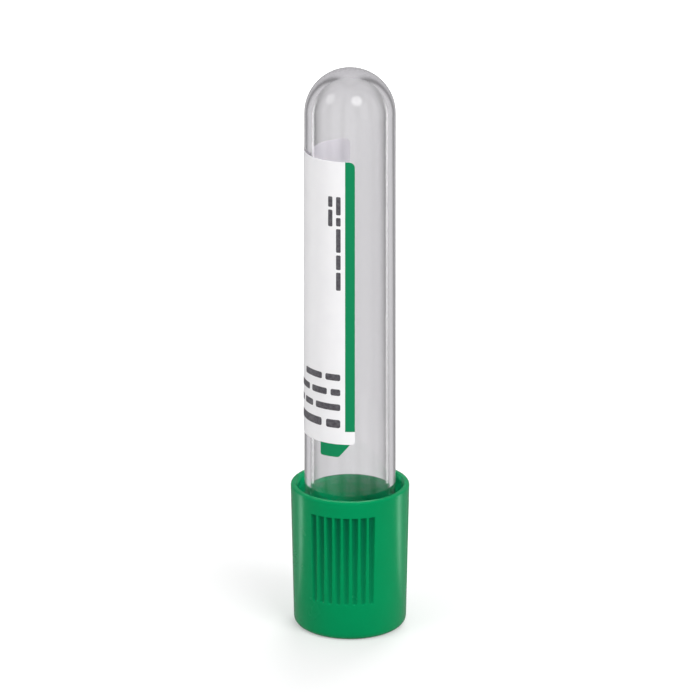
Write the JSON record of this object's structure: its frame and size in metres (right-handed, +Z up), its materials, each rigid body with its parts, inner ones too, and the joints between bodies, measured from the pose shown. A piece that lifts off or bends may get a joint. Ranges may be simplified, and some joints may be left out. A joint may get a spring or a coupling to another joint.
{
  "type": "blood collection tube",
  "caption": "Clear round-bottomed blood collection tube with a paper label and a ribbed green safety closure whose rubber stopper pulls out of the mouth.",
  "frame": {"origin": "middle of the closure's flat top, which the tube stands on, upside down", "axes": "+Z up the tube's axis, from the closure's top to the round end; -Y the front, which the label's striped edge is beside"},
  "size_m": [0.0168, 0.0168, 0.0815],
  "materials": {
    "clear_plastic": "clear, glossy",
    "label_paper": "smooth white",
    "stopper_rubber": "matt grey-brown",
    "green_plastic": "smooth moulded, slightly glossy"
  },
  "bodies": {
    "tube_body": {"tube": "clear_plastic", "label": "label_paper"},
    "closure": {"closure_shield": "green_plastic", "stopper": "stopper_rubber"}
  },
  "joints": [
    {"name": "closure_pull", "type": "slide", "parent": "closure", "child": "tube_body", "axis": [0, 0, 1], "range_m": [0, 0.03]}
  ]
}
